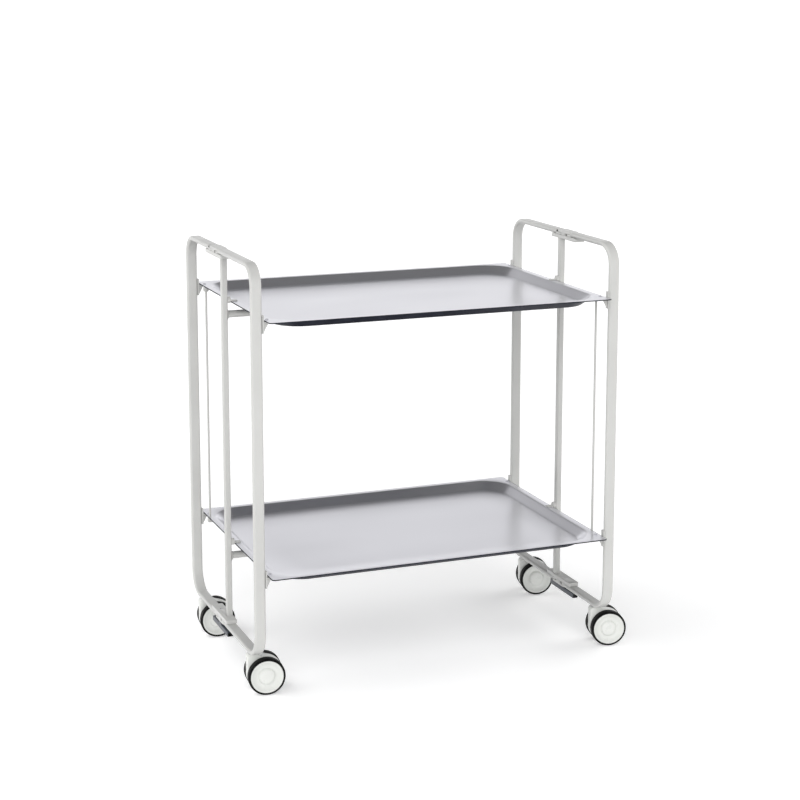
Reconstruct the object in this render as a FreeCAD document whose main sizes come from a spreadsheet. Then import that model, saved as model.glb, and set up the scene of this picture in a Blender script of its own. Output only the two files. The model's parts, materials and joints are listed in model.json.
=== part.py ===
import FreeCAD, Part
import math
import os
import re
import Sketcher

# Rolling trolley with two trays and folding end frames.  Millimetres, +Z up.
# X runs along the trays, Y across them, the front is -Y, and Z = 0 is the floor.
# The two ends are the same piece turned half a turn about Z.

doc = FreeCAD.newDocument("trolley")
V = FreeCAD.Vector

DIMENSIONS = {
    # trays
    "tray_length": 600.0,
    "tray_width": 432.0,
    "tray_sheet": 1.2,
    "tray_depth": 13.0,
    "rim_width": 12.0,
    "wall_run": 14.0,
    "dish_radius": 55.0,
    "tray_chamfer": 5.0,
    "lower_rim": 210.0,
    "upper_rim": 627.0,
    # half frames, bent from flat tube
    "frame_x": 314.5,
    "upright_y": 191.5,
    "tube_width": 19.0,
    "tube_depth": 8.0,
    "tube_wall": 1.2,
    "tube_corner": 3.9,
    "top_bar": 713.0,
    "bottom_bar": 72.0,
    "top_bend": 34.0,
    "bottom_bend": 39.0,
    # centre frame
    "post_x": 311.0,
    "post_width": 10.0,
    "post_depth": 11.0,
    "post_corner": 2.0,
    "crossbar_radius": 6.0,
    "crossbar_drop": 21.5,
    # end hinges
    "hinge_pitch": 36.0,
    "hinge_gap": 0.3,
    "leaf_reach": 10.6,
    "leaf_plug": 20.0,
    "plug_overlap": 1.0,
    "pin_radius": 2.5,
    "pin_play": 0.05,
    "seat_play": 0.02,
    "plate_half": 46.0,
    "plate_thick": 6.0,
    "lock_width": 10.0,
    "lock_thick": 8.0,
    "lock_drop": 6.0,
    "lock_offset": 3.0,
    "lock_plug": 9.0,
    "saddle_half": 7.0,
    # tray fittings
    "knuckle_radius": 5.5,
    "knuckle_rise": 2.5,
    "knuckle_gap": 0.8,
    "tab_reach": 11.0,
    "tab_width": 9.0,
    "tab_thick": 2.0,
    "rod_radius": 1.9,
    "rod_clearance": 0.7,
    "rod_x": 297.0,
    "rod_y": 163.0,
    "clip_size": 8.0,
    "rivet_inset_x": 6.0,
    "rivet_inset_y": 33.0,
    "rivet_radius": 3.0,
    "rivet_height": 1.6,
    "rivet_top": 1.8,
    # corner brackets
    "bracket_plate": 2.5,
    "bracket_width": 9.0,
    "bracket_drop": 20.0,
    "bracket_lip": 9.0,
    "bracket_reach": 12.0,
    "seat_thick": 1.5,
    "seat_gap": 0.4,
    "web_thick": 2.0,
    # casters
    "caster_y": 146.0,
    "trail": 20.0,
    "swivel_left": -6.0,
    "swivel_right": -12.0,
    "wheel_radius": 31.0,
    "wheel_width": 14.5,
    "rim_radius": 27.5,
    "dish_depth": 3.0,
    "dish_edge": 2.5,
    "dish_foot": 2.0,
    "boss_radius": 13.0,
    "hood_width": 18.0,
    "hood_radius": 30.0,
    "hood_top": 66.5,
    "wheel_gap": 0.6,
    "axle_radius": 3.0,
    "axle_recess": 1.0,
    "stem_radius": 4.0,
    "collar_radius": 7.0,
    "collar_height": 1.2,
    "housing_reach": 10.0,
    "socket_radius": 5.1,
    # the origin lies under the middle of the overall box, casters trailing included
    "origin_shift": -20.6,
}

sheet = doc.addObject("Spreadsheet::Sheet", "Sizes")
for row, (word, number) in enumerate(DIMENSIONS.items(), start=1):
    sheet.set(f"A{row}", word)
    sheet.set(f"B{row}", str(number))
    sheet.setAlias(f"B{row}", word)
doc.recompute()

NODES = {}
# Cosine above which two directions count as parallel.
PARALLEL = 0.999
# A solid that has been hollowed keeps less than this share of its volume.
HOLLOWED = 0.6


def size(word):
    """A driving dimension read from the sheet."""
    return float(getattr(sheet, word))


def worked_out(formula):
    """The number that a formula gives, worked out in a spare cell of the sheet."""
    sheet.set("D1", "=" + formula)
    sheet.recompute()
    return float(sheet.get("D1"))


def bind(obj, prop, formula):
    """Drive a property with a formula in the sheet's words."""
    text = re.sub(r"[a-z]+(_[a-z]+)*", lambda word: "Sizes." + word.group(0), formula)
    obj.setExpression(prop, text)


def place(obj, x, y, z, rotation=FreeCAD.Rotation()):
    """Put an object at a position given by formulas, counted from the middle of the end frames."""
    obj.Placement = FreeCAD.Placement(V(), rotation)
    bind(obj, "Placement.Base.x", f"{x} + origin_shift")
    bind(obj, "Placement.Base.y", y)
    bind(obj, "Placement.Base.z", z)


def box(x, y, z):
    """Box between two formulas on each axis."""
    obj = doc.addObject("Part::Box", "Box")
    for prop, (low, high) in (("Length", x), ("Width", y), ("Height", z)):
        bind(obj, prop, f"({high}) - ({low})")
    place(obj, x[0], y[0], z[0])
    return obj


def rod(radius, length, x, y, z, rotation=FreeCAD.Rotation()):
    """Round bar that starts at a point and runs along the turned Z axis."""
    obj = doc.addObject("Part::Cylinder", "Rod")
    bind(obj, "Radius", radius)
    bind(obj, "Height", length)
    place(obj, x, y, z, rotation)
    return obj


def fuse(*pieces):
    obj = doc.addObject("Part::MultiFuse", "Joined")
    obj.Shapes = list(pieces)
    obj.Refine = True
    return obj


def cut(base, *tools):
    obj = doc.addObject("Part::Cut", "Cut")
    obj.Base = base
    obj.Tool = tools[0] if len(tools) == 1 else fuse(*tools)
    obj.Refine = True
    return obj


def group(*pieces):
    """Several separate solids kept as one node."""
    obj = doc.addObject("Part::Compound", "Group")
    obj.Links = list(pieces)
    return obj


def round_edges(base, radius, direction):
    """Round the straight edges that run along one direction."""
    doc.recompute()
    obj = doc.addObject("Part::Fillet", "Rounded")
    obj.Base = base
    chosen = []
    for number, edge in enumerate(base.Shape.Edges, start=1):
        along = edge.tangentAt(edge.FirstParameter)
        if edge.Curve.TypeId == "Part::GeomLine" and abs(along.dot(direction)) > PARALLEL:
            chosen.append((number, size(radius), size(radius)))
    obj.Edges = chosen
    return obj


def node(name, obj):
    """Register an object as a sub-part under its label."""
    obj.Label = name
    NODES[name] = obj
    return obj


# --- Sketch helpers ---------------------------------------------------------------------

def rounded_rectangle(body, name, length, width, radius, plane, offset):
    """Closed rectangle with four equal round corners, centred on the plane's origin."""
    sketch = body.newObject("Sketcher::SketchObject", name)
    origin_plane = [f for f in body.Origin.OriginFeatures if f.Role == plane][0]
    sketch.AttachmentSupport = [(origin_plane, "")]
    sketch.MapMode = "FlatFace"
    bind(sketch, "AttachmentOffset.Base.z", offset)
    half_l, half_w, r = worked_out(f"({length}) / 2"), worked_out(f"({width}) / 2"), worked_out(radius)
    right, top = half_l - r, half_w - r
    line, arc = Part.LineSegment, Part.ArcOfCircle
    quarter = math.pi / 2
    up = V(0, 0, 1)
    sides = [
        line(V(-right, -half_w, 0), V(right, -half_w, 0)),
        line(V(half_l, -top, 0), V(half_l, top, 0)),
        line(V(right, half_w, 0), V(-right, half_w, 0)),
        line(V(-half_l, top, 0), V(-half_l, -top, 0)),
    ]
    centres = [V(right, -top, 0), V(right, top, 0), V(-right, top, 0), V(-right, -top, 0)]
    for side in sides:
        sketch.addGeometry(side, False)
    for k, centre in enumerate(centres):
        start = -quarter + k * quarter
        sketch.addGeometry(arc(Part.Circle(centre, up, r), start, start + quarter), False)
    rule = Sketcher.Constraint
    for k in range(4):
        sketch.addConstraint(rule("Tangent", k, 2, 4 + k, 1))
        sketch.addConstraint(rule("Tangent", 4 + k, 2, (k + 1) % 4, 1))
    for k in range(3):
        sketch.addConstraint(rule("Equal", 4 + k, 5 + k))
    sketch.addConstraint(rule("Horizontal", 0))
    sketch.addConstraint(rule("Vertical", 1))
    driven = (
        ("Radius", rule("Radius", 4, r), radius),
        ("SpanX", rule("DistanceX", 7, 3, 4, 3, 2 * right), f"({length}) - 2 * ({radius})"),
        ("SpanY", rule("DistanceY", 4, 3, 5, 3, 2 * top), f"({width}) - 2 * ({radius})"),
        ("MiddleX", rule("DistanceX", -1, 1, 5, 3, right), f"({length}) / 2 - ({radius})"),
        ("MiddleY", rule("DistanceY", -1, 1, 5, 3, top), f"({width}) / 2 - ({radius})"),
    )
    for label, constraint, formula in driven:
        index = sketch.addConstraint(constraint)
        sketch.renameConstraint(index, label)
        bind(sketch, f"Constraints.{label}", formula)
    return sketch


def frame_path(body, reach):
    """Centre line of a half frame in the YZ plane: bottom bar, bend, upright, bend, top bar."""
    sketch = body.newObject("Sketcher::SketchObject", "Path")
    plane = [f for f in body.Origin.OriginFeatures if f.Role == "YZ_Plane"][0]
    sketch.AttachmentSupport = [(plane, "")]
    sketch.MapMode = "FlatFace"
    start, far = size("leaf_reach"), worked_out(reach)
    low, high = size("bottom_bar"), size("top_bar")
    r_low, r_high = size("bottom_bend"), size("top_bend")
    up, quarter = V(0, 0, 1), math.pi / 2
    line, arc = Part.LineSegment, Part.ArcOfCircle
    sketch.addGeometry(line(V(start, low, 0), V(far - r_low, low, 0)), False)
    sketch.addGeometry(arc(Part.Circle(V(far - r_low, low + r_low, 0), up, r_low), -quarter, 0), False)
    sketch.addGeometry(line(V(far, low + r_low, 0), V(far, high - r_high, 0)), False)
    sketch.addGeometry(arc(Part.Circle(V(far - r_high, high - r_high, 0), up, r_high), 0, quarter), False)
    sketch.addGeometry(line(V(far - r_high, high, 0), V(start, high, 0)), False)
    rule = Sketcher.Constraint
    for k in range(4):
        sketch.addConstraint(rule("Tangent", k, 2, k + 1, 1))
    sketch.addConstraint(rule("Horizontal", 0))
    sketch.addConstraint(rule("Vertical", 2))
    sketch.addConstraint(rule("Horizontal", 4))
    driven = (
        ("LowBend", rule("Radius", 1, r_low), "bottom_bend"),
        ("HighBend", rule("Radius", 3, r_high), "top_bend"),
        ("LowStart", rule("DistanceX", -1, 1, 0, 1, start), "leaf_reach"),
        ("LowBar", rule("DistanceY", -1, 1, 0, 1, low), "bottom_bar"),
        ("Reach", rule("DistanceX", -1, 1, 2, 1, far), reach),
        ("HighBar", rule("DistanceY", -1, 1, 4, 2, high), "top_bar"),
        ("HighStart", rule("DistanceX", -1, 1, 4, 2, start), "leaf_reach"),
    )
    for label, constraint, formula in driven:
        index = sketch.addConstraint(constraint)
        sketch.renameConstraint(index, label)
        bind(sketch, f"Constraints.{label}", formula)
    return sketch


def pipe(body, kind, name, profile, path):
    feature = body.newObject(kind, name)
    feature.Profile = profile
    feature.Spine = (path, [f"Edge{k}" for k in range(1, 6)])
    feature.Mode = "Frenet"
    profile.Visibility = False
    doc.recompute()
    return feature


# --- Trays ------------------------------------------------------------------------------

def tray(name, rim):
    """Pressed sheet tray: a flat rim, sloping walls and a sunk floor with large round corners."""
    body = doc.addObject("PartDesign::Body", name + "_body")
    place(body, "0", "0", rim)
    plate = body.newObject("PartDesign::AdditiveBox", name + "_rim")
    bind(plate, "Length", "tray_length")
    bind(plate, "Width", "tray_width")
    bind(plate, "Height", "tray_sheet")
    bind(plate, "Placement.Base.x", "-tray_length / 2")
    bind(plate, "Placement.Base.y", "-tray_width / 2")
    bind(plate, "Placement.Base.z", "-tray_sheet")
    doc.recompute()
    corners = [
        f"Edge{k}" for k, edge in enumerate(plate.Shape.Edges, start=1)
        if abs(edge.tangentAt(edge.FirstParameter).z) > PARALLEL
    ]
    chamfer = body.newObject("PartDesign::Chamfer", name + "_corners")
    chamfer.Base = (plate, corners)
    bind(chamfer, "Size", "tray_chamfer")
    doc.recompute()

    def dish(kind, label, grow, top, bottom):
        """Loft from the mouth of the dish down to its floor, grown outwards for the outer skin."""
        mouth = rounded_rectangle(
            body, f"{name}_{label}_mouth", f"tray_length - 2 * rim_width + 2 * {grow}",
            f"tray_width - 2 * rim_width + 2 * {grow}", f"dish_radius + {grow}", "XY_Plane", top)
        floor = rounded_rectangle(
            body, f"{name}_{label}_floor", f"tray_length - 2 * rim_width - 2 * wall_run + 2 * {grow}",
            f"tray_width - 2 * rim_width - 2 * wall_run + 2 * {grow}",
            f"dish_radius - wall_run / 2 + {grow}", "XY_Plane", bottom)
        doc.recompute()
        loft = body.newObject(kind, f"{name}_{label}")
        loft.Profile = mouth
        loft.Sections = [floor]
        loft.Ruled = True
        doc.recompute()
        return loft

    outer = dish("PartDesign::AdditiveLoft", "skin", "tray_sheet", "-tray_sheet",
                 "-tray_depth - tray_sheet")
    before = outer.Shape.Volume
    inner = dish("PartDesign::SubtractiveLoft", "hollow", "0", "0", "-tray_depth")
    if inner.Shape.Volume > HOLLOWED * before:
        raise RuntimeError(f"{name}: the dish was not cut")
    return body


UNDER_RIM = {"upper": "upper_rim - tray_sheet", "lower": "lower_rim - tray_sheet"}

node("upper_tray", tray("upper", "upper_rim"))
notches = [
    box((f"{x} - rod_radius - rod_clearance", f"{x} + rod_radius + rod_clearance"),
        (f"{y} - rod_radius - rod_clearance", f"{y} + rod_radius + rod_clearance"),
        ("lower_rim - 2 * tray_sheet", "lower_rim + tray_sheet"))
    for x, y in (("-rod_x", "rod_y"), ("rod_x", "-rod_y"))
]
node("lower_tray", cut(tray("lower", "lower_rim"), *notches))


# --- Centre frame: two posts, two crossbars, rods ---------------------------------------

ALONG_X = FreeCAD.Rotation(V(0, 1, 0), 90)
ALONG_Y = FreeCAD.Rotation(V(1, 0, 0), -90)
SIDES = {"left": "-", "right": ""}
POST_FOOT = "bottom_bar + tube_depth / 2 + hinge_gap + plate_thick"
POST_HEAD = "top_bar - tube_depth / 2 - hinge_gap - plate_thick"

for side, sign in SIDES.items():
    low, high = f"{sign}post_x - post_width / 2", f"{sign}post_x + post_width / 2"
    outer = box((low, high), ("-post_depth / 2", "post_depth / 2"), (POST_FOOT, POST_HEAD))
    hollow = box((f"{low} + tube_wall", f"{high} - tube_wall"),
                 ("-post_depth / 2 + tube_wall", "post_depth / 2 - tube_wall"), (POST_FOOT, POST_HEAD))
    node(f"post_{side}", cut(round_edges(outer, "post_corner", V(0, 0, 1)), hollow))

for level in ("upper", "lower"):
    inside = "-post_x + post_width / 2"
    span = "2 * post_x - post_width"
    height = f"{level}_rim - crossbar_drop"
    node(f"crossbar_{level}", cut(
        rod("crossbar_radius", span, inside, "0", height, ALONG_X),
        rod("crossbar_radius - tube_wall", span, inside, "0", height, ALONG_X)))


def knuckle(level, side):
    """Round eye on the post's inner face, with a tab that lies on the tray's rim."""
    face, edge = "post_x - post_width / 2", "tray_length / 2 + knuckle_gap"
    tip = "tray_length / 2 - tab_reach"
    if side == "left":
        start, tab = f"-({face})", (f"-({edge})", f"-({tip})")
    else:
        start, tab = edge, (tip, edge)
    eye = rod("knuckle_radius", f"{face} - ({edge})", start, "0", f"{level}_rim + knuckle_rise", ALONG_X)
    flap = box(tab, ("-tab_width / 2", "tab_width / 2"), (f"{level}_rim", f"{level}_rim + tab_thick"))
    return fuse(eye, flap)


for level in ("upper", "lower"):
    node(f"tray_knuckles_{level}", group(knuckle(level, "left"), knuckle(level, "right")))

ROD_PLACES = {"left_rear": ("-rod_x", "rod_y"), "right_front": ("rod_x", "-rod_y")}
clips = []
for corner, (x, y) in ROD_PLACES.items():
    node(f"link_rod_{corner}", rod(
        "rod_radius", "upper_rim - lower_rim - clip_size", x, y, "lower_rim - tray_sheet"))
    for level in ("upper", "lower"):
        clips.append(box((f"{x} - clip_size / 2", f"{x} + clip_size / 2"),
                         (f"{y} - clip_size / 2", f"{y} + clip_size / 2"),
                         (f"{UNDER_RIM[level]} - clip_size", UNDER_RIM[level])))
node("rod_clips", group(*clips))

rivets = []
for level in ("upper", "lower"):
    for sx in ("-", ""):
        for sy in ("-", ""):
            rivet = doc.addObject("Part::Cone", "Rivet")
            bind(rivet, "Radius1", "rivet_radius")
            bind(rivet, "Radius2", "rivet_top")
            bind(rivet, "Height", "rivet_height")
            place(rivet, f"{sx}(tray_length / 2 - rivet_inset_x)",
                  f"{sy}(tray_width / 2 - rivet_inset_y)", f"{level}_rim")
            rivets.append(rivet)
node("tray_rivets", group(*rivets))


# --- End hinges -------------------------------------------------------------------------
# Each end has two pivots, one on the post and one a hinge pitch further towards the rear on
# the left and towards the front on the right.  A block in line with the bars joins them.

PIVOTS = {
    "front_left": ("-", "0"),
    "rear_left": ("-", "hinge_pitch"),
    "rear_right": ("", "0"),
    "front_right": ("", "-hinge_pitch"),
}


def hinge_block(side, level, bar):
    """Block between the two pivots: full height in the middle, a thin tongue round each pin."""
    sign = SIDES[side]
    x = f"{sign}frame_x"
    low, high = ("0", "hinge_pitch") if side == "left" else ("-hinge_pitch", "0")
    half = "tube_depth / 2"
    thin = (f"{bar} + hinge_gap / 2", f"{bar} + {half}")
    if level == "bottom":
        thin = (f"{bar} - {half}", f"{bar} - hinge_gap / 2")
    across = (f"{x} - tube_width / 2", f"{x} + tube_width / 2")
    tongue = box(across, (low, high), thin)
    core = (f"{low} + leaf_reach", f"{high} - leaf_reach")
    middle = box(across, core, (f"{bar} - {half}", f"{bar} + {half}"))
    discs = [rod("tube_width / 2", f"{half} - hinge_gap / 2", x, y, thin[0]) for y in (low, high)]
    holes = [rod("pin_radius + seat_play", "tube_depth", x, y, f"{bar} - {half}") for y in (low, high)]
    return cut(fuse(tongue, middle, *discs), *holes)


def hinge_plate(side, level, bar):
    """Flat plate with round ends, fixed to the post, that carries the two hinge pins."""
    sign = SIDES[side]
    x = f"{sign}frame_x"
    turn = "" if side == "left" else "-"
    middle = f"{turn}hinge_pitch / 2"
    base = f"{bar} - tube_depth / 2 - hinge_gap - plate_thick"
    if level == "bottom":
        base = f"{bar} + tube_depth / 2 + hinge_gap"
    slab = box((f"{x} - tube_width / 2", f"{x} + tube_width / 2"),
               (f"{middle} - plate_half", f"{middle} + plate_half"), (base, f"{base} + plate_thick"))
    rounded = round_edges(slab, "post_corner", V(0, 0, 1))
    holes = [rod("pin_radius + seat_play", "plate_thick", x, y, base)
             for y in ("0", f"{turn}hinge_pitch")]
    return cut(rounded, *holes)


BARS = {"top": "top_bar", "bottom": "bottom_bar"}
pins = []
for side, sign in SIDES.items():
    for level, bar in BARS.items():
        node(f"hinge_block_{level}_{side}", hinge_block(side, level, bar))
        node(f"hinge_plate_{level}_{side}", hinge_plate(side, level, bar))
        start = f"{bar} - tube_depth / 2"
        if level == "top":
            start += " - hinge_gap - plate_thick"
        pins += [
            rod("pin_radius", "tube_depth + hinge_gap + plate_thick", f"{sign}frame_x", y, start)
            for key, (pivot_sign, y) in PIVOTS.items() if key.endswith(side)
        ]
node("hinge_pins", group(*pins))

plugs = []
for side, sign in SIDES.items():
    outward = "-" if side == "left" else "+"
    turn = "" if side == "left" else "-"
    x = f"{sign}frame_x {outward} lock_offset"
    middle = f"{turn}hinge_pitch / 2"
    ends = (f"{middle} - plate_half", f"{middle} + plate_half")
    top = "bottom_bar - tube_depth / 2 - lock_drop"
    across = (f"{x} - lock_width / 2", f"{x} + lock_width / 2")
    bore_across = (f"{across[0]} + tube_wall", f"{across[1]} - tube_wall")
    bore_height = (f"{top} - lock_thick + tube_wall", f"{top} - tube_wall")
    bar = box(across, ends, (f"{top} - lock_thick", top))
    bore = box(bore_across, ends, bore_height)
    saddle_span = (f"{middle} - saddle_half", f"{middle} + saddle_half")
    saddle = box(across, saddle_span, (top, f"{top} + lock_drop"))
    node(f"lock_bar_{side}", fuse(cut(bar, bore), saddle))
    for low, high in ((ends[0], f"{ends[0]} + lock_plug"), (f"{ends[1]} - lock_plug", ends[1])):
        plugs.append(box(bore_across, (low, high), bore_height))
node("lock_bar_plugs", group(*plugs))


# --- Half frames with their leaves, sockets and brackets --------------------------------

def half_frame(corner, pivot_sign, pivot_y, front, reach):
    """Flat tube bent to a C, open towards the post, with a hole for the caster's stem."""
    body = doc.addObject("PartDesign::Body", f"tube_{corner}")
    path = frame_path(body, reach)
    solids = {}
    for label, wall in (("outer", "0"), ("inner", "tube_wall")):
        profile = rounded_rectangle(
            body, f"{label}_{corner}", f"tube_width - 2 * {wall}", f"tube_depth - 2 * {wall}",
            f"tube_corner - {wall}", "XZ_Plane", "-leaf_reach")
        bind(profile, "AttachmentOffset.Base.y", "bottom_bar")
        kind = "PartDesign::AdditivePipe" if label == "outer" else "PartDesign::SubtractivePipe"
        solids[label] = pipe(body, kind, f"{label}_pipe_{corner}", profile, path)
    if solids["inner"].Shape.Volume > HOLLOWED * solids["outer"].Shape.Volume:
        raise RuntimeError(f"half frame {corner}: the tube is not hollow")
    circle = body.newObject("Sketcher::SketchObject", f"stem_hole_{corner}")
    plane = [f for f in body.Origin.OriginFeatures if f.Role == "XY_Plane"][0]
    circle.AttachmentSupport = [(plane, "")]
    circle.MapMode = "FlatFace"
    bind(circle, "AttachmentOffset.Base.z", "bottom_bar - tube_depth")
    stem_y = worked_out(f"caster_y - upright_y + {reach}")
    circle.addGeometry(Part.Circle(V(0, stem_y, 0), V(0, 0, 1), size("stem_radius")), False)
    rule = Sketcher.Constraint
    for label, constraint, formula in (
            ("Bore", rule("Radius", 0, size("stem_radius")), "stem_radius + hinge_gap"),
            ("Away", rule("DistanceY", -1, 1, 0, 3, stem_y), f"caster_y - upright_y + {reach}")):
        index = circle.addConstraint(constraint)
        circle.renameConstraint(index, label)
        bind(circle, f"Constraints.{label}", formula)
    circle.addConstraint(rule("PointOnObject", 0, 3, -2))
    before = body.Tip.Shape.Volume
    hole = body.newObject("PartDesign::Pocket", f"stem_pocket_{corner}")
    hole.Profile = circle
    hole.Reversed = True
    bind(hole, "Length", "tube_depth / 2 + 2 * tube_wall")
    doc.recompute()
    if hole.Shape.Volume >= before:
        raise RuntimeError(f"half frame {corner}: the stem hole was not cut")
    half_turn = FreeCAD.Rotation(V(0, 0, 1), 180 if front else 0)
    place(body, f"{pivot_sign}frame_x", pivot_y, "0", half_turn)
    return body


def hinge_leaves(pivot_sign, pivot_y, out):
    """Solid end pieces of a half frame: a plug in the tube and a round-ended leaf on the pin."""
    x = f"{pivot_sign}frame_x"
    across = (f"{x} - tube_width / 2", f"{x} + tube_width / 2")

    def span(near, far):
        """Formulas between two distances from the pivot, low end first."""
        if out > 0:
            return (f"{pivot_y} + {near}", f"{pivot_y} + {far}")
        return (f"{pivot_y} - ({far})", f"{pivot_y} - ({near})")

    leaves = []
    for level, bar in BARS.items():
        low = f"{bar} - tube_depth / 2" if level == "top" else f"{bar} + hinge_gap / 2"
        thick = "tube_depth / 2 - hinge_gap / 2"
        leaf = box(across, span("0", "leaf_reach"), (low, f"{low} + {thick}"))
        disc = rod("tube_width / 2", thick, x, pivot_y, low)
        plug = box((f"{x} - tube_width / 4", f"{x} + tube_width / 4"),
                   span("leaf_reach - plug_overlap", "leaf_reach + leaf_plug"),
                   (f"{bar} - tube_depth / 4", f"{bar} + tube_depth / 4"))
        clear = rod("tube_width / 2 + hinge_gap", "tube_depth", x, pivot_y, f"{bar} - tube_depth / 2")
        hole = rod("pin_radius + pin_play", "tube_depth", x, pivot_y, f"{bar} - tube_depth / 2")
        leaves.append(cut(fuse(leaf, disc, cut(plug, clear)), hole))
    return group(*leaves)


def corner_brackets(pivot_sign, out):
    """Two brackets on an upright: a back plate, a seat under the tray's corner and a web."""
    left = pivot_sign == "-"
    side = "" if out > 0 else "-"
    y = f"{side}upright_y"
    brackets = []
    for level in ("upper", "lower"):
        rim = f"{level}_rim"
        face, front = "frame_x - tube_width / 2", "frame_x - tube_width / 2 - bracket_plate"
        tip = "frame_x - tube_width / 2 - bracket_reach"

        def across(near, far):
            """Formulas between two distances from the middle of the trolley, low end first."""
            return (f"-({far})", f"-({near})") if left else (near, far)

        width = (f"{y} - bracket_width / 2", f"{y} + bracket_width / 2")
        under = f"{rim} - tray_sheet - seat_gap"
        back = box(across(front, face), width, (f"{rim} - bracket_drop", f"{rim} + bracket_lip"))
        seat = box(across(tip, face), width, (f"{under} - seat_thick", under))
        web = doc.addObject("Part::Wedge", "Web")
        for prop, formula in (("Xmin", "0"), ("X2min", "0"), ("Ymin", "0"), ("Zmin", "0"), ("Z2min", "0"),
                              ("Xmax", "bracket_plate"), ("X2max", "bracket_reach"),
                              ("Ymax", "bracket_drop - tray_sheet - seat_gap"),
                              ("Zmax", "web_thick"), ("Z2max", "web_thick")):
            bind(web, prop, formula)
        turn = FreeCAD.Rotation(V(1, 0, 0), 90)
        shift = "+ web_thick / 2"
        if not left:
            turn = FreeCAD.Rotation(V(0, 0, 1), 180).multiply(turn)
            shift = "- web_thick / 2"
        place(web, f"-({face})" if left else face, f"{y} {shift}", f"{rim} - bracket_drop", turn)
        brackets.append(fuse(back, seat, web))
    return group(*brackets)


CORNERS = {}
for corner, (pivot_sign, pivot_y) in PIVOTS.items():
    out = -1 if corner.startswith("front") else 1
    far = "upright_y" if pivot_y == "0" else "upright_y - hinge_pitch"
    CORNERS[corner] = (pivot_sign, pivot_y, out)
    node(f"half_frame_{corner}", half_frame(corner, pivot_sign, pivot_y, out < 0, far))
    node(f"hinge_leaves_{corner}", hinge_leaves(pivot_sign, pivot_y, out))
    node(f"corner_brackets_{corner}", corner_brackets(pivot_sign, out))
    stem_x = f"{pivot_sign}frame_x"
    stem_y = f"{'-' if out < 0 else ''}caster_y"
    inside = "bottom_bar - tube_depth / 2 + tube_wall"
    node(f"caster_socket_{corner}", cut(
        rod("socket_radius", "tube_depth - 2 * tube_wall", stem_x, stem_y, inside),
        rod("stem_radius + pin_play", "tube_depth - 2 * tube_wall", stem_x, stem_y, inside)))


# --- Casters ----------------------------------------------------------------------------

def caster(corner, stem_x, stem_y, swivel):
    """Twin-wheel caster, modelled round its stem with the axle along Y, then turned under the frame."""
    x, y = "-origin_shift", "0"
    turn = FreeCAD.Rotation(V(0, 0, 1), size(swivel))

    def stand(name, *pieces):
        """Group finished pieces and put them under the frame, turned about the stem."""
        place(node(name, group(*pieces)), stem_x, stem_y, "0", turn)

    hub_x = f"{x} + trail"
    half = "hood_width / 2"
    disc = rod("hood_radius", "hood_width", hub_x, f"{y} - {half}", "wheel_radius", ALONG_Y)
    housing = box((f"{x} - housing_reach", hub_x), (f"{y} - {half}", f"{y} + {half}"),
                  ("wheel_radius", "hood_top"))
    collar = rod("collar_radius", "collar_height", x, y, "hood_top")
    stem_length = "bottom_bar + tube_depth / 2 - tube_wall - hinge_gap - hood_top"
    stem = rod("stem_radius", stem_length, x, y, "hood_top")
    bore = rod("axle_radius + pin_play", "hood_width", hub_x, f"{y} - {half}", "wheel_radius", ALONG_Y)
    rounded_housing = round_edges(housing, "tray_chamfer", V(0, 1, 0))
    stand(f"caster_hood_{corner}", cut(fuse(disc, rounded_housing, collar, stem), bore))
    reach = "hood_width / 2 + wheel_gap + wheel_width - dish_depth - axle_recess"
    stand(f"axle_{corner}", rod("axle_radius", f"2 * ({reach})", hub_x, f"{y} - ({reach})",
                                "wheel_radius", ALONG_Y))
    hubs, tyres = [], []
    inner = "hood_width / 2 + wheel_gap"
    for sign in ("-", "+"):
        start = f"{y} + {inner}" if sign == "+" else f"{y} - ({inner}) - wheel_width"
        outer_face = f"{start} + wheel_width - dish_depth" if sign == "+" else start
        tyres.append(cut(rod("wheel_radius", "wheel_width", hub_x, start, "wheel_radius", ALONG_Y),
                         rod("rim_radius", "wheel_width", hub_x, start, "wheel_radius", ALONG_Y)))
        disc = rod("rim_radius", "wheel_width", hub_x, start, "wheel_radius", ALONG_Y)
        dish = doc.addObject("Part::Cone", "Dish")
        wide, narrow = "rim_radius - dish_edge", "boss_radius + dish_foot"
        bind(dish, "Radius1", narrow if sign == "+" else wide)
        bind(dish, "Radius2", wide if sign == "+" else narrow)
        bind(dish, "Height", "dish_depth")
        place(dish, hub_x, outer_face, "wheel_radius", ALONG_Y)
        boss = rod("boss_radius", "dish_depth", hub_x, outer_face, "wheel_radius", ALONG_Y)
        hole_start = y if sign == "+" else f"{y} - ({reach})"
        hole = rod("axle_radius", reach, hub_x, hole_start, "wheel_radius", ALONG_Y)
        hubs.append(cut(disc, cut(dish, boss), hole))
    stand(f"wheel_hubs_{corner}", *hubs)
    stand(f"tyres_{corner}", *tyres)


for corner, (pivot_sign, pivot_y, out) in CORNERS.items():
    swivel = "swivel_left" if pivot_sign == "-" else "swivel_right"
    caster(corner, f"{pivot_sign}frame_x", f"{'-' if out < 0 else ''}caster_y", swivel)


# --- Check and write --------------------------------------------------------------------

sheet.clear("D1")
doc.recompute()
for obj in doc.Objects:
    if {"Invalid", "Error"} & set(obj.State):
        raise RuntimeError(f"{obj.Label} ({obj.TypeId}) did not recompute: {obj.State}")
os.makedirs("parts", exist_ok=True)
for name, obj in NODES.items():
    shape = obj.Shape
    if shape.isNull() or not shape.isValid() or not shape.Solids:
        raise RuntimeError(f"{name}: shape is empty or not valid")
    shape.exportStep(f"parts/{name}.step")
    print(f"{name:32s} solids {len(shape.Solids)}  volume {shape.Volume:10.1f}")
print(len(NODES), "nodes")
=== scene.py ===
"""Rolling trolley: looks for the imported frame.  Metres, +Z up, front is -Y."""
import json
import math

import bmesh
import bpy
from mathutils import Matrix, Vector


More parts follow.
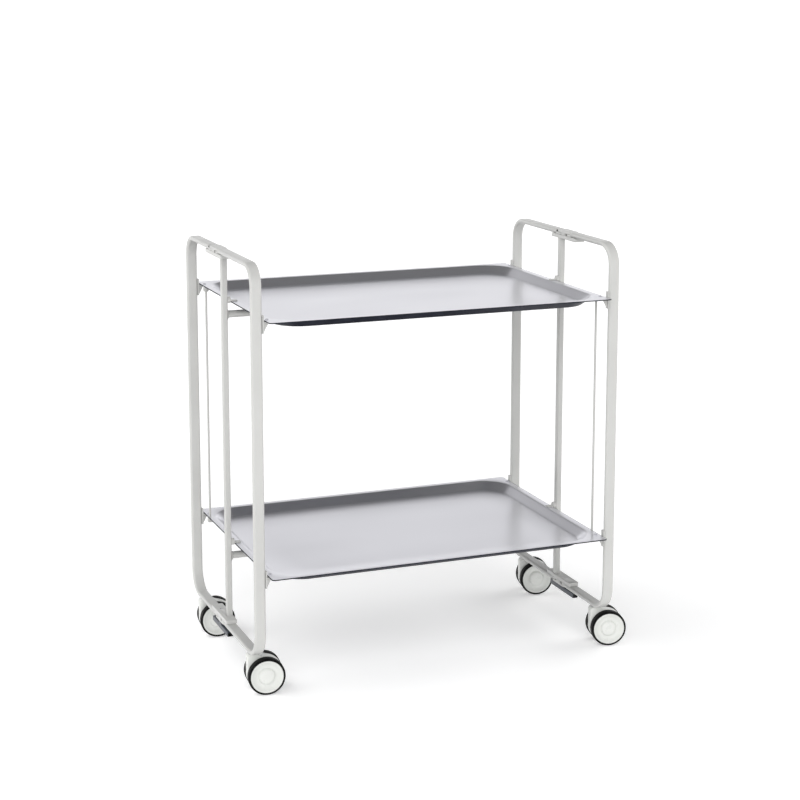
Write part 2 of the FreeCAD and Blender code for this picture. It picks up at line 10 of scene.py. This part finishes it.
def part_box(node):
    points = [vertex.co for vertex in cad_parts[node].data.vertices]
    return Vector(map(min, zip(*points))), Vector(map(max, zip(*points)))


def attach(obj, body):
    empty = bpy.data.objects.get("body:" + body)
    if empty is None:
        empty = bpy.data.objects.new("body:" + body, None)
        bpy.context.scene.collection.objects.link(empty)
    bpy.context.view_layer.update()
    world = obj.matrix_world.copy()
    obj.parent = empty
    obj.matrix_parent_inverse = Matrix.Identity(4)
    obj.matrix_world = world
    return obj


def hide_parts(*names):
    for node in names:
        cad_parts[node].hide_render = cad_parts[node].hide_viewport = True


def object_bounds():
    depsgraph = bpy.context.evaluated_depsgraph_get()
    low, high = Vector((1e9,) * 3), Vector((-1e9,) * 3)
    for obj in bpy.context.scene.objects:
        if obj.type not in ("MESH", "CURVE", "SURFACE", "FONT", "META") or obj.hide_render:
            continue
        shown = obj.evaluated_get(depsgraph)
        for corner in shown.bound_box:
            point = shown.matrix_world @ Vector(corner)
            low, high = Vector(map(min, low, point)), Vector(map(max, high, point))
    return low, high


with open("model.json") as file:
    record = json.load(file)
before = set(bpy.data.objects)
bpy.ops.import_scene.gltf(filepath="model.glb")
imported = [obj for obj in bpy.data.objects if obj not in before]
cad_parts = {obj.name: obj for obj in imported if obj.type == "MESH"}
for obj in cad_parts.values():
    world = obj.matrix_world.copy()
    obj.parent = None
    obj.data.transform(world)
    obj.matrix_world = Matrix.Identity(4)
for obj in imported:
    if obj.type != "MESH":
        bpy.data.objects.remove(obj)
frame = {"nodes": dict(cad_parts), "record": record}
CAD_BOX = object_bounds()
MM = 0.001
BODY_OF = {node: body for body, nodes in frame["record"]["behaviour"]["bodies"].items() for node in nodes}
SLOT_OF = {part["node"]: part["material_slot"] for part in frame["record"]["subparts"]}
CORNERS = ("front_left", "rear_left", "rear_right", "front_right")
SAME_POINT = 1e-7


def corners(node):
    """Lowest and highest corner of a CAD node at rest."""
    low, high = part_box(node)
    return Vector(low), Vector(high)


# --- Node helpers -----------------------------------------------------------------------

def fill_ramp(node, stops):
    """Set a colour ramp from (position, colour) pairs."""
    elements = node.color_ramp.elements
    while len(elements) < len(stops):
        elements.new(0.5)
    for element, (position, colour) in zip(elements, stops):
        element.position = position
        element.color = (*colour, 1.0)


class Recipe:
    """A material whose nodes are added in short calls."""

    def __init__(self, name):
        self.material = bpy.data.materials.new(name)
        self.material.use_nodes = True
        self.tree = self.material.node_tree
        self.shader = self.tree.nodes["Principled BSDF"]
        self.place = self.tree.nodes.new("ShaderNodeTexCoord").outputs["Object"]

    def add(self, kind, inputs=None, **settings):
        node = self.tree.nodes.new(kind)
        for key, value in settings.items():
            setattr(node, key, value)
        for key, value in (inputs or {}).items():
            self.connect(node.inputs[key], value)
        return node

    def connect(self, socket, value):
        if isinstance(value, bpy.types.NodeSocket):
            self.tree.links.new(value, socket)
        else:
            socket.default_value = value

    def noise(self, scale, detail=3.0, stretch=None):
        place = self.place
        if stretch:
            mapping = self.add("ShaderNodeMapping", {"Vector": place, "Scale": stretch})
            place = mapping.outputs["Vector"]
        inputs = {"Vector": place, "Scale": scale, "Detail": detail}
        return self.add("ShaderNodeTexNoise", inputs).outputs["Fac"]

    def span(self, fac, low, high, fac_low=0.3, fac_high=0.7):
        """Spread a factor evenly between two values."""
        inputs = {"Value": fac, "From Min": fac_low, "From Max": fac_high,
                  "To Min": low, "To Max": high}
        return self.add("ShaderNodeMapRange", inputs).outputs["Result"]

    def ramp(self, fac, *stops):
        node = self.add("ShaderNodeValToRGB", {"Fac": fac})
        fill_ramp(node, stops)
        return node.outputs["Color"]

    def blend(self, fac, first, second):
        node = self.add("ShaderNodeMix", data_type="RGBA")
        fac_socket, first_socket, second_socket = (node.inputs[k] for k in (0, 6, 7))
        colour_output = node.outputs[2]
        self.connect(fac_socket, fac)
        for socket, value in ((first_socket, first), (second_socket, second)):
            self.connect(socket, value if isinstance(value, bpy.types.NodeSocket) else (*value, 1.0))
        return colour_output

    def bump(self, height, distance, strength=1.0):
        inputs = {"Height": height, "Distance": distance, "Strength": strength}
        node = self.add("ShaderNodeBump", inputs)
        self.connect(self.shader.inputs["Normal"], node.outputs["Normal"])

    def set(self, **values):
        names = {"colour": "Base Color", "metallic": "Metallic", "roughness": "Roughness",
                 "coat": "Coat Weight", "coat_roughness": "Coat Roughness",
                 "specular": "Specular IOR Level"}
        for key, value in values.items():
            if key == "colour" and not isinstance(value, bpy.types.NodeSocket):
                value = (*value, 1.0)
            self.connect(self.shader.inputs[names[key]], value)
        return self.material


def worn_edges(recipe, low=0.52, high=0.60):
    """Factor that rises on outward edges, where a coating is rubbed."""
    point = recipe.add("ShaderNodeNewGeometry").outputs["Pointiness"]
    return recipe.span(point, 0.0, 1.0, low, high)


def powder_coat(name, base, shade, roughness=0.36):
    """Baked powder paint: faint mottling, orange peel and slightly duller rubbed edges."""
    recipe = Recipe(name)
    mottle = recipe.noise(9.0, 4.0)
    colour = recipe.ramp(mottle, (0.35, shade), (0.65, base))
    rubbed = recipe.blend(worn_edges(recipe), colour, tuple(0.9 * value for value in base))
    recipe.bump(recipe.noise(750.0, 2.0), 0.05 * MM, 0.35)
    sheen = recipe.span(recipe.noise(40.0), roughness - 0.04, roughness + 0.06)
    return recipe.set(colour=rubbed, roughness=sheen, coat=0.15, coat_roughness=0.25)


def tray_lacquer():
    """Silver-grey metallic lacquer: fine flake, a soft sheen and faint wipe marks along the tray."""
    recipe = Recipe("tray_lacquer")
    flake = recipe.noise(2600.0, 1.0)
    cloud = recipe.noise(5.0, 3.0)
    fine = recipe.blend(recipe.span(flake, 0.0, 0.5), (0.835, 0.835, 0.88), (0.885, 0.885, 0.93))
    colour = recipe.blend(recipe.span(cloud, 0.0, 0.35), fine, (0.825, 0.825, 0.87))
    wiped = recipe.noise(7.0, 2.0, stretch=(0.4, 1.0, 1.0))
    recipe.bump(recipe.noise(900.0, 2.0), 0.03 * MM, 0.25)
    return recipe.set(colour=colour, metallic=0.88, roughness=recipe.span(wiped, 0.28, 0.32))


def tray_underside():
    """Dark blue-black primer on the underside and on the cut edge."""
    recipe = Recipe("tray_underside")
    colour = recipe.ramp(recipe.noise(30.0, 4.0),
                         (0.3, (0.006, 0.007, 0.014)), (0.7, (0.014, 0.016, 0.027)))
    recipe.bump(recipe.noise(700.0, 2.0), 0.05 * MM, 0.3)
    sheen = recipe.span(recipe.noise(50.0), 0.36, 0.48)
    return recipe.set(colour=colour, roughness=sheen, specular=0.25)


def moulded(name, base, shade, roughness):
    """Moulded plastic: faint flow clouds and a fine spark-eroded grain."""
    recipe = Recipe(name)
    colour = recipe.ramp(recipe.noise(16.0, 3.0), (0.3, shade), (0.7, base))
    recipe.bump(recipe.noise(1400.0, 2.0), 0.04 * MM, 0.3)
    sheen = recipe.span(recipe.noise(70.0), roughness - 0.05, roughness + 0.05)
    return recipe.set(colour=colour, roughness=sheen)


def tyre_rubber():
    """Black rubber with a dusty tread."""
    recipe = Recipe("tyre_rubber")
    dust = recipe.ramp(recipe.noise(120.0, 5.0),
                       (0.45, (0.003, 0.003, 0.003)), (0.8, (0.012, 0.012, 0.011)))
    recipe.bump(recipe.noise(1800.0, 3.0), 0.08 * MM, 0.5)
    sheen = recipe.span(recipe.noise(90.0), 0.5, 0.68)
    return recipe.set(colour=dust, roughness=sheen, specular=0.15)


def turned_steel():
    """Bright steel with turning marks."""
    recipe = Recipe("turned_steel")
    rings = recipe.noise(1500.0, 2.0, stretch=(1.0, 1.0, 0.08))
    colour = recipe.ramp(rings, (0.3, (0.48, 0.48, 0.49)), (0.7, (0.66, 0.66, 0.67)))
    recipe.bump(rings, 0.03 * MM, 0.3)
    sheen = recipe.span(recipe.noise(80.0), 0.24, 0.36)
    return recipe.set(colour=colour, metallic=1.0, roughness=sheen)


LOOKS = {
    "frame_paint": powder_coat("frame_powder_coat", (0.53, 0.53, 0.515), (0.50, 0.50, 0.485)),
    "tray_paint": tray_lacquer(),
    "rivet_steel": powder_coat("rivet_paint", (0.56, 0.56, 0.60), (0.50, 0.50, 0.54), 0.3),
    "lock_paint": powder_coat("lock_bar_paint", (0.055, 0.063, 0.078), (0.040, 0.046, 0.058), 0.42),
    "black_plastic": moulded("black_plastic", (0.015, 0.015, 0.016), (0.009, 0.009, 0.010), 0.42),
    "white_plastic": moulded("white_plastic", (0.67, 0.68, 0.65), (0.63, 0.64, 0.615), 0.3),
    "tyre_black": tyre_rubber(),
    "bright_steel": turned_steel(),
}
UNDERSIDE = tray_underside()


# --- Mesh helpers -----------------------------------------------------------------------

def piece_from(name, bm, body, slot, replaced=(), extra=(), turn=None):
    """Turn a bmesh into a finished piece on a body."""
    bmesh.ops.remove_doubles(bm, verts=bm.verts, dist=SAME_POINT)
    if turn:
        bm.transform(turn)
    bmesh.ops.recalc_face_normals(bm, faces=bm.faces)
    mesh = bpy.data.meshes.new(name)
    bm.to_mesh(mesh)
    bm.free()
    piece = bpy.data.objects.new(name, mesh)
    bpy.context.scene.collection.objects.link(piece)
    for material in (LOOKS[slot], *extra):
        mesh.materials.append(material)
    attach(piece, body)
    if replaced:
        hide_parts(*replaced)
    return piece


def bake(piece, *modifiers):
    """Add modifiers given as (kind, settings) and apply them."""
    for kind, settings in modifiers:
        modifier = piece.modifiers.new(kind.lower(), kind)
        for key, value in settings.items():
            setattr(modifier, key, value)
    graph = bpy.context.evaluated_depsgraph_get()
    mesh = bpy.data.meshes.new_from_object(piece.evaluated_get(graph))
    piece.modifiers.clear()
    old = piece.data
    piece.data = mesh
    bpy.data.meshes.remove(old)
    return piece


def smooth(piece, degrees=35.0):
    """Smooth shading, kept sharp where faces meet at more than the given angle."""
    mesh = piece.data
    mesh.shade_smooth()
    mesh.set_sharp_from_angle(angle=math.radians(degrees))
    return piece


def bridge(bm, rows, closed=True):
    """Faces between neighbouring rows of vertices; returns them row by row."""
    strips = []
    for first, second in zip(rows, rows[1:]):
        count = len(first)
        strip = []
        for k in range(count if closed else count - 1):
            after = (k + 1) % count
            strip.append(bm.faces.new((first[k], first[after], second[after], second[k])))
        strips.append(strip)
    return strips


def turned(name, profile, centre, body, slot, replaced, flip, turn, steps, ring_shaped=False):
    """Solid turned about a Y axis through centre, from (radius, offset) pairs.

    The profile starts and ends on the axis, or closes on itself for a ring.
    """
    bm = bmesh.new()
    rows = []
    for radius, offset in profile:
        rows.append([
            bm.verts.new(centre + Vector((radius * math.cos(t), flip * offset, radius * math.sin(t))))
            for t in full_turn(steps)
        ])
    bridge(bm, rows + [rows[0]] if ring_shaped else rows)
    return piece_from(name, bm, body, slot, replaced, turn=turn)


def full_turn(steps):
    """Angles of equal steps round a circle."""
    return [2.0 * math.pi * k / steps for k in range(steps)]


def arc(centre, radius, start, end, steps):
    """Points of an arc in a plane, angles in degrees."""
    return [
        (centre[0] + radius * math.cos(math.radians(start + (end - start) * k / steps)),
         centre[1] + radius * math.sin(math.radians(start + (end - start) * k / steps)))
        for k in range(steps + 1)
    ]


def soften(node, width):
    """Copy of a CAD node with its sharp edges rounded; stands for the node."""
    bm = bmesh.new()
    bm.from_mesh(frame["nodes"][node].data)
    bmesh.ops.remove_doubles(bm, verts=bm.verts, dist=0.002 * MM)
    bmesh.ops.dissolve_limit(bm, angle_limit=math.radians(1.0), verts=bm.verts, edges=bm.edges)
    piece = piece_from(node + "_rounded", bm, BODY_OF[node], SLOT_OF[node], (node,))
    bake(piece, ("BEVEL", {"width": width, "segments": 3, "limit_method": "ANGLE",
                           "angle_limit": math.radians(40.0), "miter_outer": "MITER_ARC"}))
    return smooth(piece)


# --- Trays ------------------------------------------------------------------------------

CORNER_STEPS = 14
SIDE_STEPS = 10
WALL_STEPS = 14


def outline(bm, half_x, half_y, radius, centre, z):
    """Ring of vertices round a rectangle with round corners."""
    ring = []
    bends = []
    for quarter, (sx, sy) in enumerate(((1, 1), (-1, 1), (-1, -1), (1, -1))):
        corner = (centre.x + sx * (half_x - radius), centre.y + sy * (half_y - radius))
        bends.append(arc(corner, radius, 90 * quarter, 90 * quarter + 90, CORNER_STEPS))
    for points, ahead in zip(bends, bends[1:] + bends[:1]):
        ring += [bm.verts.new((x, y, z)) for x, y in points]
        last, first = Vector(points[-1]), Vector(ahead[0])
        for k in range(1, SIDE_STEPS):
            x, y = last.lerp(first, k / SIDE_STEPS)
            ring.append(bm.verts.new((x, y, z)))
    return ring


def wall_drop(share, round_share=0.16):
    """Share of the depth reached at a share of the wall's run, with both bends rounded."""
    steep = 1.0 / (1.0 - round_share)
    if share < round_share:
        return 0.5 * steep * share * share / round_share
    if share > 1.0 - round_share:
        return 1.0 - 0.5 * steep * (1.0 - share) ** 2 / round_share
    return steep * (share - round_share / 2)


def tray(node):
    """Pressed tray: hemmed edge, flat rim, wall with soft bends, and a flat floor."""
    low, high = corners(node)
    centre = (low + high) / 2
    half_x, half_y = (high.x - low.x) / 2, (high.y - low.y) / 2
    sheet, depth = 1.2 * MM, 13 * MM
    mouth, run = 10.5 * MM, 17 * MM
    edge_round, rim_round, mouth_round, floor_round = 5 * MM, 26 * MM, 56 * MM, 46 * MM
    hem, hem_width, edge = 1.55 * MM, 3 * MM, 0.3 * MM
    rim_middle = 0.6 * mouth
    # Each section is an inset from the edge, a corner radius, a height and a thickness.
    sections = [
        (0.0, edge_round, -edge, hem - edge),
        (edge, edge_round, 0.0, hem),
        (3 * edge, edge_round, 0.0, hem),
        (hem_width, edge_round, 0.0, hem),
        (hem_width + edge, edge_round, 0.0, sheet),
        (rim_middle, rim_round, 0.0, sheet),
    ]
    for k in range(WALL_STEPS + 1):
        share = k / WALL_STEPS
        radius = mouth_round + (floor_round - mouth_round) * share
        sections.append((mouth + run * share, radius, -depth * wall_drop(share), sheet))
    for share in (0.25, 0.5, 0.75):
        inset = mouth + run + (half_y - mouth - run) * share
        sections.append((inset, floor_round * (1 - share), -depth, sheet))
    bm = bmesh.new()
    top, under = [], []
    for inset, radius, z, thick in sections:
        args = (half_x - inset, half_y - inset, radius, centre)
        top.append(outline(bm, *args, high.z + z))
        under.append(outline(bm, *args, high.z + z - thick))
    skin = bridge(bm, top)
    for strip in skin[:2] + bridge(bm, under) + bridge(bm, [top[0], under[0]]):
        for face in strip:
            face.material_index = 1
    bm.faces.new(top[-1])
    bm.faces.new(under[-1]).material_index = 1
    piece = piece_from(node + "_pressed", bm, BODY_OF[node], SLOT_OF[node], (node,), (UNDERSIDE,))
    return smooth(piece, 50.0)


def rivet_heads():
    """Low domed heads near the tray corners."""
    low, high = corners("tray_rivets")
    radius, height = 3 * MM, 1.6 * MM
    levels, steps = 7, 28
    bm = bmesh.new()
    for z in (corners(node)[1].z for node in ("lower_tray", "upper_tray")):
        for x in (low.x + radius, high.x - radius):
            for y in (low.y + radius, high.y - radius):
                rows = []
                for k in range(levels):
                    lift = math.radians(90 * k / levels)
                    reach = radius * math.cos(lift)
                    rows.append([
                        bm.verts.new((x + reach * math.cos(t), y + reach * math.sin(t),
                                      z + height * math.sin(lift)))
                        for t in full_turn(steps)
                    ])
                bridge(bm, rows)
                bm.faces.new(rows[0])
                bm.faces.new(rows[-1])
    piece = piece_from("rivet_heads", bm, "centre_frame", "rivet_steel", ("tray_rivets",))
    return smooth(piece, 60.0)


# --- Casters ----------------------------------------------------------------------------

def hood(corner, stem, axle, half_width, radius, top, turn):
    """Hood between the wheels: a round cheek that rises into the stem's housing, without an axle hole."""
    back, ahead = stem.x - 10 * MM, stem.x + 9 * MM
    back_round, ahead_round = 6 * MM, 3 * MM
    points = arc((axle.x, axle.z), radius, 70, -188, 60)
    points += arc((back + back_round, top - back_round), back_round, 180, 90, 8)
    points += arc((ahead - ahead_round, top - ahead_round), ahead_round, 90, 40, 5)
    bm = bmesh.new()
    cheeks = [[bm.verts.new((x, y, z)) for x, z in points]
              for y in (stem.y - half_width, stem.y + half_width)]
    bridge(bm, cheeks)
    for cheek in cheeks:
        bm.faces.new(cheek)
    node = f"caster_hood_{corner}"
    piece = piece_from(f"hood_{corner}", bm, BODY_OF[node], "white_plastic", (node,), turn=turn)
    bake(piece, ("BEVEL", {"width": 2.2 * MM, "segments": 4, "limit_method": "ANGLE",
                           "angle_limit": math.radians(60.0)}))
    return smooth(piece, 40.0)


def upright_ring(name, profile, centre, body, slot, steps=48):
    """Solid turned about a Z axis, from (radius, height) pairs."""
    bm = bmesh.new()
    rows = []
    for radius, z in profile:
        rows.append([
            bm.verts.new((centre.x + radius * math.cos(t), centre.y + radius * math.sin(t), z))
            for t in full_turn(steps)
        ])
    bridge(bm, rows)
    bm.faces.new(rows[0])
    bm.faces.new(rows[-1])
    return smooth(piece_from(name, bm, body, slot), 35.0)


def tyre_profile(wheel, rim, inner, outer):
    """Section of a tyre with a rounded tread, its shoulder larger on the outer side."""
    inner_round, outer_round = 2.0 * MM, 3.2 * MM
    points = [(rim, inner + 0.8 * MM), (rim + 1.2 * MM, inner)]
    points += arc((wheel - inner_round, inner + inner_round), inner_round, -90, 0, 6)
    points += arc((wheel - outer_round, outer - outer_round), outer_round, 0, 90, 8)
    return points + [(rim, outer - 0.5 * MM)]


def disc_profile(rim, inner, outer):
    """Half section of a wheel disc: rounded rim, dish, and a domed boss in the middle."""
    back, rim_round = inner + 0.3 * MM, 1.4 * MM
    points = [(0.0, back), (rim - 1.0 * MM, back), (rim, inner + 1.2 * MM)]
    points += arc((rim - rim_round, outer - 1.7 * MM), rim_round, 0, 100, 6)
    # Radius and depth below the face, in millimetres.
    dish = ((24.6, 1.0), (23.4, 2.6), (21.0, 4.2), (18.4, 5.4), (15.4, 5.9), (14.2, 5.7), (13.6, 4.8),
            (13.1, 3.4), (12.2, 2.4), (10.4, 1.6), (7.6, 1.1), (4.0, 0.8), (0.0, 0.7))
    return points + [(radius * MM, outer - depth * MM) for radius, depth in dish]


def caster(corner):
    """Two wheels with black tyres and dished white discs either side of a hood."""
    low, high = corners(f"tyres_{corner}")
    axle = (low + high) / 2
    wheel = (high.z - low.z) / 2
    socket_low, socket_high = corners(f"caster_socket_{corner}")
    stem = (socket_low + socket_high) / 2
    reach = Vector((axle.x - stem.x, axle.y - stem.y))
    turn = (Matrix.Translation(stem) @ Matrix.Rotation(math.atan2(reach.y, reach.x), 4, "Z")
            @ Matrix.Translation(-stem))
    straight = Vector((stem.x + reach.length, stem.y, axle.z))
    inner, outer, rim = 9.6 * MM, 24.1 * MM, 27.5 * MM
    hood_node = f"caster_hood_{corner}"
    hood_top = corners(hood_node)[1].z
    housing_top = 66.5 * MM
    hood(corner, stem, straight, inner - 0.6 * MM, wheel - 1 * MM, housing_top, turn)
    # Radius and height over the housing, in millimetres.
    collar = [(radius * MM, housing_top + rise * MM) for radius, rise in
              ((4, -1.5), (6.6, -1.5), (7, -0.8), (7, 0.7), (6.6, 1.1), (4, 1.2))]
    collar += [(4 * MM, hood_top - 0.6 * MM), (3.4 * MM, hood_top)]
    upright_ring(f"stem_{corner}", collar, stem, BODY_OF[hood_node], "bright_steel")
    wheels = BODY_OF[f"tyres_{corner}"]
    for side, flip in (("front", -1.0), ("rear", 1.0)):
        tyres = (f"tyres_{corner}",) if side == "front" else ()
        hubs = (f"wheel_hubs_{corner}",) if side == "front" else ()
        smooth(turned(f"tyre_{side}_{corner}", tyre_profile(wheel, rim, inner, outer), straight, wheels,
                      "tyre_black", tyres, flip, turn, 96, ring_shaped=True), 50.0)
        smooth(turned(f"disc_{side}_{corner}", disc_profile(rim, inner, outer), straight, wheels,
                      "white_plastic", hubs, flip, turn, 72), 32.0)


# --- Small fittings ---------------------------------------------------------------------

def weld(name, centre, axis, radius, size, steps=40):
    """Concave weld fillet round a tube on a flat face; the axis points away from the face."""
    across = Vector((0, 0, 1))
    other = axis.cross(across)
    profile = [(radius + size - size * math.sin(a), size - size * math.cos(a))
               for a in (math.radians(90 * k / 6) for k in range(7))]
    profile.append((radius, 0.0))
    bm = bmesh.new()
    rows = []
    for reach, along in profile:
        rows.append([
            bm.verts.new(centre + axis * along + (across * math.cos(t) + other * math.sin(t)) * reach)
            for t in full_turn(steps)
        ])
    bridge(bm, rows + [rows[0]])
    return smooth(piece_from(name, bm, "centre_frame", "frame_paint"), 50.0)


for tray_node in ("upper_tray", "lower_tray"):
    tray(tray_node)
rivet_heads()
for corner_name in CORNERS:
    caster(corner_name)

# Bevel width by the start of the node's name.
SOFTENED = {
    "hinge_plate": 0.8 * MM, "hinge_block": 0.7 * MM, "hinge_leaves": 0.6 * MM,
    "corner_brackets": 0.4 * MM, "tray_knuckles": 0.6 * MM, "rod_clips": 0.8 * MM,
    "lock_bar": 0.6 * MM, "post": 0.3 * MM,
}
WELD_SIZE = 4 * MM
for node_name in list(frame["nodes"]):
    for start, bevel_width in SOFTENED.items():
        if node_name.startswith(start):
            soften(node_name, bevel_width)

for level_name in ("upper", "lower"):
    bar_low, bar_high = corners(f"crossbar_{level_name}")
    middle = (bar_low + bar_high) / 2
    bar_radius = (bar_high.z - bar_low.z) / 2
    for side_name, x, way in (("left", bar_low.x, 1), ("right", bar_high.x, -1)):
        weld(f"weld_{level_name}_{side_name}", Vector((x, middle.y, middle.z)),
             Vector((way, 0, 0)), bar_radius, WELD_SIZE)

for node_name, cad_object in frame["nodes"].items():
    cad_object.data.materials.clear()
    cad_object.data.materials.append(LOOKS[SLOT_OF[node_name]])


# --- Studio -----------------------------------------------------------------------------

def floor():
    """Wide pale floor that glows a little, just under the wheels."""
    half_width, gap, glow = 200.0, 0.2 * MM, 0.3
    recipe = Recipe("studio_floor")
    tone = recipe.ramp(recipe.noise(0.8, 2.0), (0.3, (0.90, 0.90, 0.90)), (0.7, (0.92, 0.92, 0.92)))
    recipe.set(colour=tone, roughness=0.9, specular=0.1)
    recipe.connect(recipe.shader.inputs["Emission Color"], (1.0, 1.0, 1.0, 1.0))
    recipe.connect(recipe.shader.inputs["Emission Strength"], glow)
    bm = bmesh.new()
    bmesh.ops.create_grid(bm, x_segments=4, y_segments=4, size=half_width)
    mesh = bpy.data.meshes.new("studio_floor")
    bm.to_mesh(mesh)
    bm.free()
    plane = bpy.data.objects.new("studio_floor", mesh)
    mesh.materials.append(recipe.material)
    bpy.context.scene.collection.objects.link(plane)
    plane.location.z = CAD_BOX[0][2] - gap


def sky():
    """Bright walls all round and a dim ceiling."""
    world = bpy.data.worlds.new("studio")
    bpy.context.scene.world = world
    world.use_nodes = True
    tree = world.node_tree
    place = tree.nodes.new("ShaderNodeTexCoord")
    split = tree.nodes.new("ShaderNodeSeparateXYZ")
    ramp = tree.nodes.new("ShaderNodeValToRGB")
    tree.links.new(place.outputs["Generated"], split.inputs[0])
    tree.links.new(split.outputs["Z"], ramp.inputs["Fac"])
    # Height from the horizon (0) to straight up (1), and brightness.
    levels = ((0.0, 1.04), (0.10, 1.12), (0.28, 1.12), (0.39, 0.56),
              (0.50, 0.19), (0.64, 0.06), (1.0, 0.05))
    blue = 1.01
    fill_ramp(ramp, [(height, (value, value, value * blue)) for height, value in levels])
    tree.links.new(ramp.outputs["Color"], tree.nodes["Background"].inputs["Color"])
    tree.nodes["Background"].inputs["Strength"].default_value = 1.0


def aim(azimuth, elevation):
    """Direction towards an azimuth from the front, positive towards the right, and an elevation."""
    return Vector((math.sin(azimuth) * math.cos(elevation), -math.cos(azimuth) * math.cos(elevation),
                   math.sin(elevation)))


def soft_sun(name, azimuth, elevation, strength, spread):
    """Broad even light from far away.

    It is not mirrored in glossy surfaces, so no side of the trays is lost in its glare.
    """
    data = bpy.data.lights.new(name, "SUN")
    data.energy = strength
    data.angle = math.radians(spread)
    light = bpy.data.objects.new(name, data)
    bpy.context.scene.collection.objects.link(light)
    source = aim(math.radians(azimuth), math.radians(elevation))
    light.rotation_euler = source.to_track_quat("Z", "Y").to_euler()
    light.visible_glossy = False


def camera():
    """Camera 1.15 m up, in front and to the left, looking slightly down."""
    azimuth, elevation = math.radians(-21.44), math.radians(9.875)
    place = Vector((-1.1568, -2.9006, 1.1521))
    back = aim(azimuth, elevation)
    right = Vector((math.cos(azimuth), math.sin(azimuth), 0.0))
    up = back.cross(right)
    data = bpy.data.cameras.new("camera")
    data.sensor_width = 36.0
    data.lens = 82.58
    data.shift_y = -0.125
    data.clip_end = 1000.0
    view = bpy.data.objects.new("camera", data)
    bpy.context.scene.collection.objects.link(view)
    turn = Matrix((right, up, back)).transposed().to_4x4()
    view.matrix_world = Matrix.Translation(place) @ turn
    bpy.context.scene.camera = view


floor()
sky()
soft_sun("key", -20.0, 34.0, 1.7, 50.0)
soft_sun("left_fill", -100.0, 42.0, 1.3, 60.0)
soft_sun("right_fill", 100.0, 24.0, 1.15, 50.0)
camera()
bpy.context.scene.view_settings.view_transform = "Standard"
